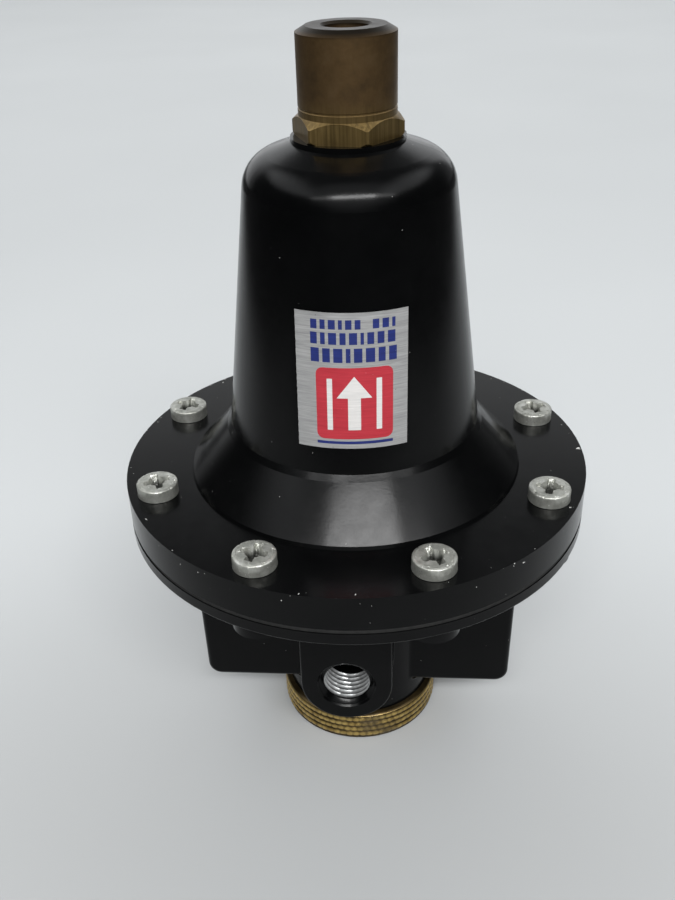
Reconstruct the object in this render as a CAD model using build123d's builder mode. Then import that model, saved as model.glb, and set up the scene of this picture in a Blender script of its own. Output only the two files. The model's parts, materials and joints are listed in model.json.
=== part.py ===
from build123d import *
from math import cos, pi, radians, sin
import os

# Air pressure regulator, diaphragm type, spring bonnet up.
# Millimetres. +Z is up. The origin is the centre of the bottom plug's lower face.
# The inlet port faces -X, the outlet port +X, the front gauge port -Y.

os.makedirs("parts", exist_ok=True)

# ---- driving dimensions -------------------------------------------------
FLANGE_R = 54.0            # bonnet and body flange, 4.25 in across
RIM_Z = 75.4               # top face of the bonnet flange
BONNET_LOW_Z = 67.3        # bonnet flange meets the diaphragm
DIAPHRAGM_LOW_Z = 66.2     # diaphragm meets the body flange
BODY_FLANGE_LOW_Z = 63.3
BORE_R = 40.5              # inside of the clamping ring

CONE_TOP_Z = 140.4         # the bonnet's taper, from here down to CONE_LOW_Z
CONE_TOP_R = 22.2
CONE_SLOPE = 0.1204
CONE_LOW_Z = 87.4
FLARE_R = 38.4
WALL = 4.0
NECK_R = 11.7
NECK_TOP_Z = 150.3
NECK_BORE_R = 9.0

BUSH_TOP_Z = 170.8         # overall height
BUSH_R = 9.9
HEX_FLATS = 20.0
HEX_CORNER_R = 11.4
HEX_TOP_Z = 153.1
HEX_CONE_TOP_Z = 154.5
SCREW_BORE_R = 4.57        # 7/16-14 minor radius
ADJ_R = 4.50
ADJ_PITCH = 1.814
ADJ_TURNS = 7

BOLT_CIRCLE_R = 47.4
SCREW_COUNT = 8
SCREW_SHANK_R = 2.41       # number 10
SCREW_HEAD_R = 4.65
SCREW_HEAD_H = 3.35
BOSS_R = 5.7
BOSS_LOW_Z = 60.3

CYL_R = 18.95              # central barrel of the body
CYL_LOW_Z = 8.7
BLOCK_HALF_X = 38.72       # port face at the block's foot; the faces lean out going up
BLOCK_DRAFT = 0.0168
BLOCK_HALF_Y = 13.0
BLOCK_LOW_Z = 14.7
PORT_Z = 26.9
PORT_R = 10.6              # 1/2 NPT, out to the thread's roots
PORT_FACE_X = BLOCK_HALF_X + (PORT_Z - BLOCK_LOW_Z) * BLOCK_DRAFT
PORT_END_X = 20.0
GAUGE_X = 1.6              # the front gauge boss stands this far towards -X
GAUGE_Z = 25.8
GAUGE_R = 6.8              # 1/4 NPT, out to the thread's roots
GAUGE_BOSS_R = 11.05
GAUGE_FACE_Y = 27.0
GAUGE_END_Y = 15.6

LOW_CHAMBER_R = 11.0
UP_CHAMBER_R = 15.0
WEB_LOW_Z = 27.0
WEB_TOP_Z = 31.5
UP_CHAMBER_TOP_Z = 46.0
FLOOR_Z = 55.5
PLUG_BORE_R = 14.1
PLUG_BORE_TOP_Z = 17.0
KNURL_R = 20.4
KNURL_TOP_Z = 8.5

SEAT_FACE_Z = 25.0
STEM_R = 1.5
STEM_BORE_R = 1.55
STEM_TIP_Z = 59.15
LIFT = 2.0

CENTRE_LOW_Z = 62.95       # middle of the diaphragm, between its plates
CENTRE_TOP_Z = 64.05
PLATE_R = 29.0
FLEX_IN_R = 30.2
HUB_R = 4.0

RANGE_LOW_Z = 66.1         # range spring, from the diaphragm plate to the spring seat
RANGE_TOP_Z = 128.0
RANGE_R = 13.0
RANGE_WIRE_R = 1.7
RANGE_TURNS = 7.0


def cone_r(z):
    return CONE_TOP_R + (CONE_TOP_Z - z) * CONE_SLOPE


def bolt_angle(i):
    return 22.5 + 360.0 / SCREW_COUNT * i


# ---- bonnet -------------------------------------------------------------
with BuildPart() as bonnet:
    with BuildSketch(Plane.XZ) as bonnet_section:
        with BuildLine():
            Polyline(
                (NECK_BORE_R, NECK_TOP_Z),
                (NECK_R, NECK_TOP_Z),
                (NECK_R, 149.2),
                (21.56, 145.7),
                (cone_r(CONE_LOW_Z), CONE_LOW_Z),
                (cone_r(CONE_LOW_Z) + 0.95, CONE_LOW_Z - 1.3),
                (FLARE_R, RIM_Z + 0.75),
                (FLARE_R + 0.35, RIM_Z),
                (FLANGE_R, RIM_Z),
                (FLANGE_R, BONNET_LOW_Z),
                (BORE_R, BONNET_LOW_Z),
                (BORE_R, 70.5),
                (37.9, 70.5),
                (27.0, 83.65),
                (cone_r(CONE_LOW_Z) - WALL, 87.0),
                (cone_r(CONE_TOP_Z) - WALL, CONE_TOP_Z),
                (17.6, 142.0),
                (NECK_BORE_R, 144.0),
                close=True,
            )
        make_face()
        corners = bonnet_section.vertices()
        fillet(corners.sort_by_distance((21.56, 145.7))[0], radius=7.5)
        fillet(corners.sort_by_distance((NECK_R, 149.2))[0], radius=1.2)
        fillet(corners.sort_by_distance((FLANGE_R, RIM_Z))[0], radius=1.8)
        fillet(corners.sort_by_distance((FLANGE_R, BONNET_LOW_Z))[0], radius=0.3)
        fillet(corners.sort_by_distance((NECK_R, NECK_TOP_Z))[0], radius=0.35)
    revolve(axis=Axis.Z)
    # clearance holes for the flange screws
    with BuildSketch(Plane.XY.offset(BONNET_LOW_Z - 0.1)):
        with PolarLocations(BOLT_CIRCLE_R, SCREW_COUNT, start_angle=bolt_angle(0)):
            Circle(SCREW_SHANK_R + 0.2)
    extrude(amount=RIM_Z - BONNET_LOW_Z + 0.2, mode=Mode.SUBTRACT)
    # breather hole at the back
    with BuildSketch(Plane.XZ.offset(-40.0)):
        with Locations((0, 101.0)):
            Circle(1.6)
    extrude(amount=20.0, mode=Mode.SUBTRACT)
bonnet.part.label = "bonnet"
export_step(bonnet.part, "parts/bonnet.step")

# ---- brass bushing in the bonnet's neck ----------------------------------
with BuildPart() as bushing:
    with BuildSketch(Plane.XY.offset(NECK_TOP_Z)):
        RegularPolygon(HEX_FLATS / 2, 6, major_radius=False, rotation=-7.8)
    extrude(amount=HEX_CONE_TOP_Z - NECK_TOP_Z)
    # chamfered corners and the cone up to the barrel
    with BuildSketch(Plane.XZ):
        with BuildLine():
            Polyline(
                (0, NECK_TOP_Z),
                (HEX_CORNER_R - 0.5, NECK_TOP_Z),
                (HEX_CORNER_R, NECK_TOP_Z + 0.5),
                (HEX_CORNER_R, HEX_TOP_Z),
                (BUSH_R, HEX_CONE_TOP_Z),
                (0, HEX_CONE_TOP_Z),
                close=True,
            )
        make_face()
    revolve(axis=Axis.Z, mode=Mode.INTERSECT)
    with BuildSketch(Plane.XZ):
        with BuildLine():
            Polyline(
                (0, 139.9),
                (NECK_BORE_R - 0.6, 139.9),
                (NECK_BORE_R - 0.1, 140.4),
                (NECK_BORE_R - 0.1, NECK_TOP_Z),
                (BUSH_R, NECK_TOP_Z + 0.01),
                (BUSH_R, 155.7),
                (BUSH_R - 0.15, 155.85),
                (BUSH_R - 0.15, 156.1),
                (BUSH_R, 156.25),
                (BUSH_R, BUSH_TOP_Z - 1.1),
                (BUSH_R - 1.9, BUSH_TOP_Z),
                (0, BUSH_TOP_Z),
                close=True,
            )
        make_face()
    revolve(axis=Axis.Z)
    with BuildSketch(Plane.XY.offset(139.0)):
        Circle(SCREW_BORE_R)
    extrude(amount=40.0, mode=Mode.SUBTRACT)
    with BuildSketch(Plane.XZ):
        with BuildLine():
            Polyline(
                (0, BUSH_TOP_Z + 0.5),
                (SCREW_BORE_R + 1.0, BUSH_TOP_Z + 0.5),
                (SCREW_BORE_R - 0.1, BUSH_TOP_Z - 0.6),
                (0, BUSH_TOP_Z - 0.6),
                close=True,
            )
        make_face()
    revolve(axis=Axis.Z, mode=Mode.SUBTRACT)
bushing.part.label = "bonnet_bushing"
export_step(bushing.part, "parts/bonnet_bushing.step")

# ---- adjusting screw, recessed in the bushing ------------------------------
with BuildPart() as adjusting_screw:
    with BuildSketch(Plane.XZ):
        with BuildLine():
            Polyline(
                (0, 137.6),
                (2.2, 137.6),
                (3.2, 138.6),
                (3.2, 140.0),
                (ADJ_R - 0.5, 140.4),
                (ADJ_R, 140.9),
                (ADJ_R, 161.0),
                (ADJ_R - 0.7, 161.7),
                (0, 161.7),
                close=True,
            )
        make_face()
    revolve(axis=Axis.Z)
    with BuildSketch(Plane.XY.offset(161.8)):
        RegularPolygon(2.4, 6, major_radius=False)
    extrude(amount=-5.0, mode=Mode.SUBTRACT)
adjusting_screw.part.label = "adjusting_screw"
export_step(adjusting_screw.part, "parts/adjusting_screw.step")

# ---- upper spring seat and its thrust ball ---------------------------------
with BuildPart() as spring_seat:
    with BuildSketch(Plane.XZ):
        with BuildLine():
            Polyline(
                (0, 125.2),
                (10.6, 125.2),
                (11.0, 125.6),
                (11.0, RANGE_TOP_Z),
                (16.2, RANGE_TOP_Z),
                (16.2, 130.2),
                (15.6, 130.8),
                (7.0, 130.8),
                (5.6, 133.4),
                (5.6, 135.0),
                (0, 135.0),
                close=True,
            )
        make_face()
    revolve(axis=Axis.Z)
    with Locations((0, 0, 134.6)):
        Sphere(3.02, mode=Mode.SUBTRACT)
spring_seat.part.label = "spring_seat"
export_step(spring_seat.part, "parts/spring_seat.step")

with BuildPart() as thrust_ball:
    with Locations((0, 0, 134.58)):
        Sphere(2.98)
thrust_ball.part.label = "thrust_ball"
export_step(thrust_ball.part, "parts/thrust_ball.step")

# ---- range spring ----------------------------------------------------------
with BuildPart() as range_spring:
    spring_len = RANGE_TOP_Z - RANGE_LOW_Z - 2 * RANGE_WIRE_R - 0.1
    with BuildLine(Plane.XY.offset(RANGE_LOW_Z + RANGE_WIRE_R + 0.05)) as range_path:
        Helix(pitch=spring_len / RANGE_TURNS, height=spring_len, radius=RANGE_R)
    with BuildSketch(Plane(range_path.line @ 0, z_dir=range_path.line % 0)):
        Circle(RANGE_WIRE_R)
    sweep(path=range_path.line, is_frenet=True)
range_spring.part.label = "range_spring"
export_step(range_spring.part, "parts/range_spring.step")

# ---- body casting ------------------------------------------------------------
with BuildPart() as body:
    # barrel, bowl and flange
    with BuildSketch(Plane.XZ) as body_section:
        with BuildLine():
            Polyline(
                (0, CYL_LOW_Z),
                (CYL_R, CYL_LOW_Z),
                (CYL_R, 48.0),
                (31.0, 53.5),
                (42.6, 60.6),
                (42.6, BODY_FLANGE_LOW_Z),
                (FLANGE_R, BODY_FLANGE_LOW_Z),
                (FLANGE_R, DIAPHRAGM_LOW_Z),
                (0, DIAPHRAGM_LOW_Z),
                close=True,
            )
        make_face()
        corners = body_section.vertices()
        fillet(corners.sort_by_distance((FLANGE_R, BODY_FLANGE_LOW_Z))[0], radius=0.5)
        fillet(corners.sort_by_distance((CYL_R, CYL_LOW_Z))[0], radius=0.5)
    revolve(axis=Axis.Z)
    # port block
    block_top = 58.0
    top_x = BLOCK_HALF_X + (block_top - BLOCK_LOW_Z) * BLOCK_DRAFT
    with BuildSketch(Plane.XZ.offset(-BLOCK_HALF_Y)) as block_section:
        with BuildLine():
            Polyline(
                (-BLOCK_HALF_X, BLOCK_LOW_Z),
                (BLOCK_HALF_X, BLOCK_LOW_Z),
                (top_x, block_top),
                (-top_x, block_top),
                close=True,
            )
        make_face()
        feet = block_section.vertices().group_by(Axis.Y)[0]
        fillet(feet, radius=3.4)
    block = extrude(amount=2 * BLOCK_HALF_Y, mode=Mode.PRIVATE).solid()
    block_rims = block.faces().filter_by(Axis.Y).edges().filter_by(
        lambda e: e.center().Z < block_top - 0.1
    )
    add(block.fillet(1.4, block_rims))
    # gauge bosses, front and back
    for side in (-1, 1):
        with BuildSketch(Plane.XZ.offset(-side * GAUGE_FACE_Y)) as boss_section:
            with Locations((side * GAUGE_X, GAUGE_Z)):
                Circle(GAUGE_BOSS_R)
            with Locations((side * GAUGE_X, (GAUGE_Z + 53.0) / 2)):
                Rectangle(2 * GAUGE_BOSS_R, 53.0 - GAUGE_Z)
        extrude(amount=side * (GAUGE_FACE_Y - 2.0))
    # blends where the block and the gauge bosses meet the barrel, and rounded gauge faces
    inner_corners = body.edges().filter_by(Axis.Z).filter_by(
        lambda e: abs((e.center().X ** 2 + e.center().Y ** 2) ** 0.5 - CYL_R) < 0.4
    )
    block_corners = inner_corners.filter_by(lambda e: abs(abs(e.center().Y) - BLOCK_HALF_Y) < 0.5)
    boss_corners = inner_corners.filter_by(lambda e: abs(e.center().Y) > BLOCK_HALF_Y + 0.5)
    fillet(block_corners, radius=1.6)
    fillet(boss_corners, radius=1.0)
    for end in (0, -1):
        fillet(body.faces().filter_by(Axis.Y).sort_by(Axis.Y)[end].edges(), radius=0.6)
    # round bosses under the flange for the screws
    with BuildSketch(Plane.XY.offset(BOSS_LOW_Z)):
        with PolarLocations(BOLT_CIRCLE_R, SCREW_COUNT, start_angle=bolt_angle(0)):
            Circle(BOSS_R)
    extrude(amount=DIAPHRAGM_LOW_Z - 0.5 - BOSS_LOW_Z)
    # diaphragm chamber
    with BuildSketch(Plane.XZ):
        with BuildLine():
            Polyline(
                (0, FLOOR_Z),
                (14.0, FLOOR_Z),
                (31.0, 58.2),
                (38.6, 61.4),
                (BORE_R, 64.0),
                (BORE_R, DIAPHRAGM_LOW_Z + 0.1),
                (0, DIAPHRAGM_LOW_Z + 0.1),
                close=True,
            )
        make_face()
    revolve(axis=Axis.Z, mode=Mode.SUBTRACT)
    # plug bore, inlet chamber, seat bore, outlet chamber and guide bore
    with BuildSketch(Plane.XZ):
        with BuildLine():
            Polyline(
                (0, CYL_LOW_Z - 0.1),
                (PLUG_BORE_R, CYL_LOW_Z - 0.1),
                (PLUG_BORE_R, PLUG_BORE_TOP_Z),
                (LOW_CHAMBER_R, PLUG_BORE_TOP_Z),
                (LOW_CHAMBER_R, WEB_LOW_Z),
                (8.25, WEB_LOW_Z),
                (8.25, WEB_TOP_Z),
                (UP_CHAMBER_R, WEB_TOP_Z),
                (UP_CHAMBER_R, 43.0),
                (12.0, UP_CHAMBER_TOP_Z),
                (5.05, UP_CHAMBER_TOP_Z),
                (5.05, FLOOR_Z + 0.1),
                (0, FLOOR_Z + 0.1),
                close=True,
            )
        make_face()
    revolve(axis=Axis.Z, mode=Mode.SUBTRACT)
    # main ports: tapered mouth, threaded bore, then the passage to each chamber
    for side, passage_z in ((-1, 22.8), (1, 34.6)):
        with BuildSketch(Plane.YZ.offset(side * PORT_END_X)):
            with Locations((0, PORT_Z)):
                Circle(PORT_R)
        extrude(amount=side * 22.0, mode=Mode.SUBTRACT)
        with BuildSketch(Plane.YZ.offset(side * 10.2)):
            with Locations((0, passage_z)):
                Circle(4.4)
        extrude(amount=side * 10.6, mode=Mode.SUBTRACT)
        with BuildSketch(Plane.XY):
            with BuildLine():
                Polyline(
                    (side * (PORT_FACE_X + 0.6), 0),
                    (side * (PORT_FACE_X + 0.6), PORT_R + 1.3),
                    (side * (PORT_FACE_X - 0.8), PORT_R - 0.1),
                    (side * (PORT_FACE_X - 0.8), 0),
                    close=True,
                )
            make_face()
        # the mouth cone is made on the X axis and lifted to the port's height
        mouth = revolve(axis=Axis.X, mode=Mode.PRIVATE)
        add(mouth.moved(Location((0, 0, PORT_Z))), mode=Mode.SUBTRACT)
    # gauge ports, each with a drilled way up to the outlet chamber
    for side in (-1, 1):
        with BuildSketch(Plane.XZ.offset(-side * GAUGE_END_Y)):
            with Locations((side * GAUGE_X, GAUGE_Z)):
                Circle(GAUGE_R)
        extrude(amount=-side * 16.0, mode=Mode.SUBTRACT)
        with BuildSketch(Plane.XZ.offset(-side * (GAUGE_FACE_Y + 0.01))):
            with Locations((side * GAUGE_X, GAUGE_Z)):
                Circle(GAUGE_R + 0.4)
        extrude(amount=side * 0.4, taper=45, mode=Mode.SUBTRACT)
        with BuildSketch(Plane.XY.offset(GAUGE_Z)):
            with Locations((side * GAUGE_X, side * 17.3)):
                Circle(1.3)
        extrude(amount=11.0, mode=Mode.SUBTRACT)
        with BuildSketch(Plane.XZ.offset(-side * 17.3)):
            with Locations((side * GAUGE_X, 35.0)):
                Circle(1.0)
        extrude(amount=side * 4.0, mode=Mode.SUBTRACT)
    # threaded holes for the flange screws
    with BuildSketch(Plane.XY.offset(BOSS_LOW_Z - 0.1)):
        with PolarLocations(BOLT_CIRCLE_R, SCREW_COUNT, start_angle=bolt_angle(0)):
            Circle(SCREW_SHANK_R + 0.04)
    extrude(amount=10.0, mode=Mode.SUBTRACT)
    # hole for the aspirator tube
    with BuildSketch(Plane.XY.offset(42.0)):
        with Locations((10.0, 0)):
            Circle(1.65)
    extrude(amount=16.0, mode=Mode.SUBTRACT)
body.part.label = "body_casting"
export_step(body.part, "parts/body_casting.step")

# ---- aspirator tube ------------------------------------------------------------
with BuildPart() as aspirator:
    with BuildSketch(Plane.XY.offset(38.5)):
        with Locations((10.0, 0)):
            Circle(1.6)
            Circle(0.9, mode=Mode.SUBTRACT)
    extrude(amount=18.5)
aspirator.part.label = "aspirator_tube"
export_step(aspirator.part, "parts/aspirator_tube.step")

# ---- stem guide and its seal ----------------------------------------------------
with BuildPart() as stem_guide:
    with BuildSketch(Plane.XZ):
        with BuildLine():
            Polyline(
                (STEM_BORE_R, 44.0),
                (4.4, 44.0),
                (5.0, 44.6),
                (5.0, FLOOR_Z + 0.02),
                (6.6, FLOOR_Z + 0.02),
                (6.6, 56.3),
                (6.2, 56.7),
                (STEM_BORE_R, 56.7),
                (STEM_BORE_R, 53.4),
                (3.4, 53.4),
                (3.4, 51.6),
                (STEM_BORE_R, 51.6),
                close=True,
            )
        make_face()
    revolve(axis=Axis.Z)
stem_guide.part.label = "stem_guide"
export_step(stem_guide.part, "parts/stem_guide.step")

with BuildPart() as stem_seal:
    with Locations((0, 0, 52.5)):
        Torus(2.47, 0.83)
stem_seal.part.label = "stem_seal"
export_step(stem_seal.part, "parts/stem_seal.step")

# ---- valve seat ring --------------------------------------------------------------
with BuildPart() as seat_ring:
    with BuildSketch(Plane.XZ):
        with BuildLine():
            Polyline(
                (5.0, SEAT_FACE_Z + 0.05),
                (5.4, SEAT_FACE_Z + 0.05),
                (6.4, WEB_LOW_Z - 0.4),
                (8.2, WEB_LOW_Z - 0.4),
                (8.2, WEB_TOP_Z + 0.9),
                (7.7, WEB_TOP_Z + 1.4),
                (5.6, WEB_TOP_Z + 1.4),
                (5.0, WEB_TOP_Z + 0.8),
                close=True,
            )
        make_face()
    revolve(axis=Axis.Z)
seat_ring.part.label = "seat_ring"
export_step(seat_ring.part, "parts/seat_ring.step")

# ---- valve: stem with its disc holder, rubber disc, spring ------------------------
with BuildPart() as valve_stem:
    with BuildSketch(Plane.XZ):
        with BuildLine():
            Polyline(
                (0, 8.6),
                (2.6, 8.6),
                (3.0, 9.0),
                (3.0, 18.6),
                (7.6, 18.6),
                (8.0, 19.0),
                (8.0, SEAT_FACE_Z - 0.4),
                (7.35, SEAT_FACE_Z - 0.4),
                (7.35, 22.6),
                (2.4, 22.6),
                (2.4, SEAT_FACE_Z + 0.8),
                (STEM_R, SEAT_FACE_Z + 1.6),
                (STEM_R, STEM_TIP_Z - 1.2),
                (0.5, STEM_TIP_Z),
                (0, STEM_TIP_Z),
                close=True,
            )
        make_face()
    revolve(axis=Axis.Z)
valve_stem.part.label = "valve_stem"
export_step(valve_stem.part, "parts/valve_stem.step")

with BuildPart() as valve_disc:
    with BuildSketch(Plane.XY.offset(22.65)):
        Circle(7.3)
        Circle(2.45, mode=Mode.SUBTRACT)
    extrude(amount=SEAT_FACE_Z - 22.65)
valve_disc.part.label = "valve_disc"
export_step(valve_disc.part, "parts/valve_disc.step")

with BuildPart() as valve_spring:
    valve_len = 18.6 - 6.0 - 2 * 0.5 - 0.1
    with BuildLine(Plane.XY.offset(6.0 + 0.55)) as valve_path:
        Helix(pitch=valve_len / 6.0, height=valve_len, radius=7.0)
    with BuildSketch(Plane(valve_path.line @ 0, z_dir=valve_path.line % 0)):
        Circle(0.5)
    sweep(path=valve_path.line, is_frenet=True)
valve_spring.part.label = "valve_spring"
export_step(valve_spring.part, "parts/valve_spring.step")

# ---- bottom plug, knurled, and its seal -----------------------------------------
with BuildPart() as plug:
    with BuildSketch(Plane.XZ):
        with BuildLine():
            Polyline(
                (0, 0),
                (KNURL_R - 0.8, 0),
                (KNURL_R, 0.7),
                (KNURL_R, KNURL_TOP_Z - 0.6),
                (KNURL_R - 0.6, KNURL_TOP_Z),
                (14.0, KNURL_TOP_Z),
                (14.0, 10.2),
                (12.35, 10.2),
                (12.35, 12.0),
                (14.0, 12.0),
                (14.0, 16.3),
                (13.4, 16.9),
                (9.0, 16.9),
                (9.0, 6.0),
                (5.5, 6.0),
                (5.5, 14.2),
                (3.06, 14.2),
                (3.06, 4.5),
                (0, 4.5),
                close=True,
            )
        make_face()
    revolve(axis=Axis.Z)
plug.part.label = "bottom_plug"
export_step(plug.part, "parts/bottom_plug.step")

with BuildPart() as plug_seal:
    with Locations((0, 0, 11.1)):
        Torus(13.2, 0.82)
plug_seal.part.label = "plug_seal"
export_step(plug_seal.part, "parts/plug_seal.step")

# ---- diaphragm: clamped rim, flexing ring, middle --------------------------------
with BuildPart() as diaphragm_rim:
    with BuildSketch(Plane.XY.offset(DIAPHRAGM_LOW_Z + 0.02)):
        Circle(FLANGE_R - 0.25)
        Circle(BORE_R, mode=Mode.SUBTRACT)
        with PolarLocations(BOLT_CIRCLE_R, SCREW_COUNT, start_angle=bolt_angle(0)):
            Circle(SCREW_SHANK_R + 0.3, mode=Mode.SUBTRACT)
    extrude(amount=BONNET_LOW_Z - DIAPHRAGM_LOW_Z - 0.04)
diaphragm_rim.part.label = "diaphragm_rim"
export_step(diaphragm_rim.part, "parts/diaphragm_rim.step")

with BuildPart() as diaphragm_flex:
    half = 0.5
    rise = 66.75 - 63.5
    with BuildSketch(Plane.XZ):
        with BuildLine():
            upper = Spline(
                (BORE_R - 0.05, 66.75 + half),
                (38.2, 66.3 + half),
                (35.4, 66.75 - rise / 2 + half),
                (32.6, 63.95 + half),
                (FLEX_IN_R + 0.05, 63.5 + half),
                tangents=((-1, 0), (-1, 0)),
            )
            Line(upper @ 1, (FLEX_IN_R + 0.05, 63.5 - half))
            lower = Spline(
                (FLEX_IN_R + 0.05, 63.5 - half),
                (32.6, 63.95 - half),
                (35.4, 66.75 - rise / 2 - half),
                (38.2, 66.3 - half),
                (BORE_R - 0.05, 66.75 - half),
                tangents=((1, 0), (1, 0)),
            )
            Line(lower @ 1, upper @ 0)
        make_face()
    revolve(axis=Axis.Z)
diaphragm_flex.part.label = "diaphragm_flex"
export_step(diaphragm_flex.part, "parts/diaphragm_flex.step")

with BuildPart() as diaphragm_middle:
    with BuildSketch(Plane.XY.offset(CENTRE_LOW_Z + 0.02)):
        Circle(FLEX_IN_R)
        Circle(HUB_R + 0.05, mode=Mode.SUBTRACT)
    extrude(amount=CENTRE_TOP_Z - CENTRE_LOW_Z - 0.04)
diaphragm_middle.part.label = "diaphragm_middle"
export_step(diaphragm_middle.part, "parts/diaphragm_middle.step")

# ---- diaphragm plates, hub and nut ------------------------------------------------
with BuildPart() as upper_plate:
    with BuildSketch(Plane.XZ):
        with BuildLine():
            Polyline(
                (HUB_R + 0.05, CENTRE_TOP_Z),
                (PLATE_R - 1.0, CENTRE_TOP_Z),
                (PLATE_R, CENTRE_TOP_Z + 1.0),
                (PLATE_R, 68.6),
                (PLATE_R - 1.8, 68.6),
                (PLATE_R - 1.8, 67.0),
                (PLATE_R - 2.8, RANGE_LOW_Z - 0.05),
                (HUB_R + 0.05, RANGE_LOW_Z - 0.05),
                close=True,
            )
        make_face()
    revolve(axis=Axis.Z)
    with BuildSketch(Plane.XY.offset(RANGE_LOW_Z - 0.05)):
        Circle(10.8)
        RegularPolygon(7.2, 6, major_radius=False, mode=Mode.SUBTRACT)
    extrude(amount=2.4)
upper_plate.part.label = "upper_plate"
export_step(upper_plate.part, "parts/upper_plate.step")

with BuildPart() as lower_plate:
    with BuildSketch(Plane.XZ):
        with BuildLine():
            Polyline(
                (HUB_R + 0.05, 61.25),
                (25.6, 61.25),
                (27.2, CENTRE_LOW_Z - 0.6),
                (27.2, CENTRE_LOW_Z),
                (HUB_R + 0.05, CENTRE_LOW_Z),
                close=True,
            )
        make_face()
    revolve(axis=Axis.Z)
lower_plate.part.label = "lower_plate"
export_step(lower_plate.part, "parts/lower_plate.step")

with BuildPart() as relief_hub:
    with BuildSketch(Plane.XZ):
        with BuildLine():
            Polyline(
                (1.1, 60.0),
                (1.9, STEM_TIP_Z + 0.07),
                (6.6, STEM_TIP_Z + 0.07),
                (7.0, STEM_TIP_Z + 0.5),
                (7.0, 61.22),
                (HUB_R, 61.22),
                (HUB_R, 71.2),
                (HUB_R - 0.5, 71.7),
                (1.1, 71.7),
                close=True,
            )
        make_face()
    revolve(axis=Axis.Z)
relief_hub.part.label = "relief_hub"
export_step(relief_hub.part, "parts/relief_hub.step")

with BuildPart() as hub_nut:
    with BuildSketch(Plane.XY.offset(RANGE_LOW_Z)):
        RegularPolygon(6.5, 6, major_radius=False)
        Circle(HUB_R + 0.05, mode=Mode.SUBTRACT)
    extrude(amount=4.6)
    chamfer(hub_nut.faces().sort_by(Axis.Z)[-1].outer_wire().edges(), length=0.5)
hub_nut.part.label = "hub_nut"
export_step(hub_nut.part, "parts/hub_nut.step")

# ---- flange screws ---------------------------------------------------------------
for i in range(SCREW_COUNT):
    a = radians(bolt_angle(i))
    with BuildPart() as screw:
        with BuildSketch(Plane.XZ) as screw_section:
            with BuildLine():
                Polyline(
                    (0, BOSS_LOW_Z + 0.6),
                    (SCREW_SHANK_R - 0.5, BOSS_LOW_Z + 0.6),
                    (SCREW_SHANK_R, BOSS_LOW_Z + 1.1),
                    (SCREW_SHANK_R, RIM_Z + 0.01),
                    (SCREW_HEAD_R, RIM_Z + 0.01),
                    (SCREW_HEAD_R, RIM_Z + SCREW_HEAD_H - 0.45),
                    (0, RIM_Z + SCREW_HEAD_H),
                    close=True,
                )
            make_face()
            shoulder = screw_section.vertices().sort_by_distance(
                (SCREW_HEAD_R, RIM_Z + SCREW_HEAD_H - 0.45)
            )[0]
            fillet(shoulder, radius=0.8)
        revolve(axis=Axis.Z)
        with BuildSketch(Plane.XY.offset(RIM_Z + SCREW_HEAD_H + 0.1)):
            Rectangle(5.4, 1.15, rotation=20.0 + 47.0 * i)
            Rectangle(1.15, 5.4, rotation=20.0 + 47.0 * i)
        extrude(amount=-2.1, taper=12, mode=Mode.SUBTRACT)
    placed = screw.part.moved(Location((BOLT_CIRCLE_R * cos(a), BOLT_CIRCLE_R * sin(a), 0)))
    placed.label = f"flange_screw_{i + 1}"
    export_step(placed, f"parts/flange_screw_{i + 1}.step")

# ---- foil label on the bonnet's taper ----------------------------------------------
with BuildPart() as label:
    low_z, top_z = 93.5, 122.1
    with BuildSketch(Plane.XZ):
        with BuildLine():
            Polyline(
                (cone_r(low_z) + 0.02, low_z),
                (cone_r(low_z) + 0.14, low_z),
                (cone_r(top_z) + 0.14, top_z),
                (cone_r(top_z) + 0.02, top_z),
                close=True,
            )
        make_face()
    revolve(axis=Axis.Z)
    with BuildSketch(Plane.XY.offset(low_z - 1.0)):
        with Locations((1.2, -25.0)):
            Rectangle(22.4, 30.0)
    extrude(amount=top_z - low_z + 2.0, mode=Mode.INTERSECT)
label.part.label = "label"
export_step(label.part, "parts/label.step")
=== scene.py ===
"""Air pressure regulator: the looks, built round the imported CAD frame. Metres, +Z up."""
import json
from math import cos, pi, radians, sin, sqrt, tau

import bmesh
import bpy
from mathutils import Matrix, Vector, noise


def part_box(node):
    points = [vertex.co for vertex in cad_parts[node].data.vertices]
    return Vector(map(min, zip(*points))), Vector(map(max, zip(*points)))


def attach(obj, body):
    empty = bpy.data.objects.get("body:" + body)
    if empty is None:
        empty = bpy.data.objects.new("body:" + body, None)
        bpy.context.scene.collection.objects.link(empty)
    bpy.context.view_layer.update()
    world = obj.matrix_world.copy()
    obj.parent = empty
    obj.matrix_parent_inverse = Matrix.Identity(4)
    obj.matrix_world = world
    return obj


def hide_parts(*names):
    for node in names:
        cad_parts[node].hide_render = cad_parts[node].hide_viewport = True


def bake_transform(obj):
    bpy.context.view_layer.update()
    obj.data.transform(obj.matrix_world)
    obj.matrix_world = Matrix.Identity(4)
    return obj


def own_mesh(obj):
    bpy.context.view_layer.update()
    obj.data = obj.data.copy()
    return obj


MM = 0.001

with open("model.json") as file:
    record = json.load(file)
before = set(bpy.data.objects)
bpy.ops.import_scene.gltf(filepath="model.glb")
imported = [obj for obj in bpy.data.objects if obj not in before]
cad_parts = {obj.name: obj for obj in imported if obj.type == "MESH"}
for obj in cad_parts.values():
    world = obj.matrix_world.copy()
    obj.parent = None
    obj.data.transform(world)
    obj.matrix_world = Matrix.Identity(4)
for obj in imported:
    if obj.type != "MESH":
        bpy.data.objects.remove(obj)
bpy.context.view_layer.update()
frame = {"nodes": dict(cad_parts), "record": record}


# ---- places, all from the frame, in millimetres ------------------------------
def box_mm(node):
    low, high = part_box(node)
    return low / MM, high / MM


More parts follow.
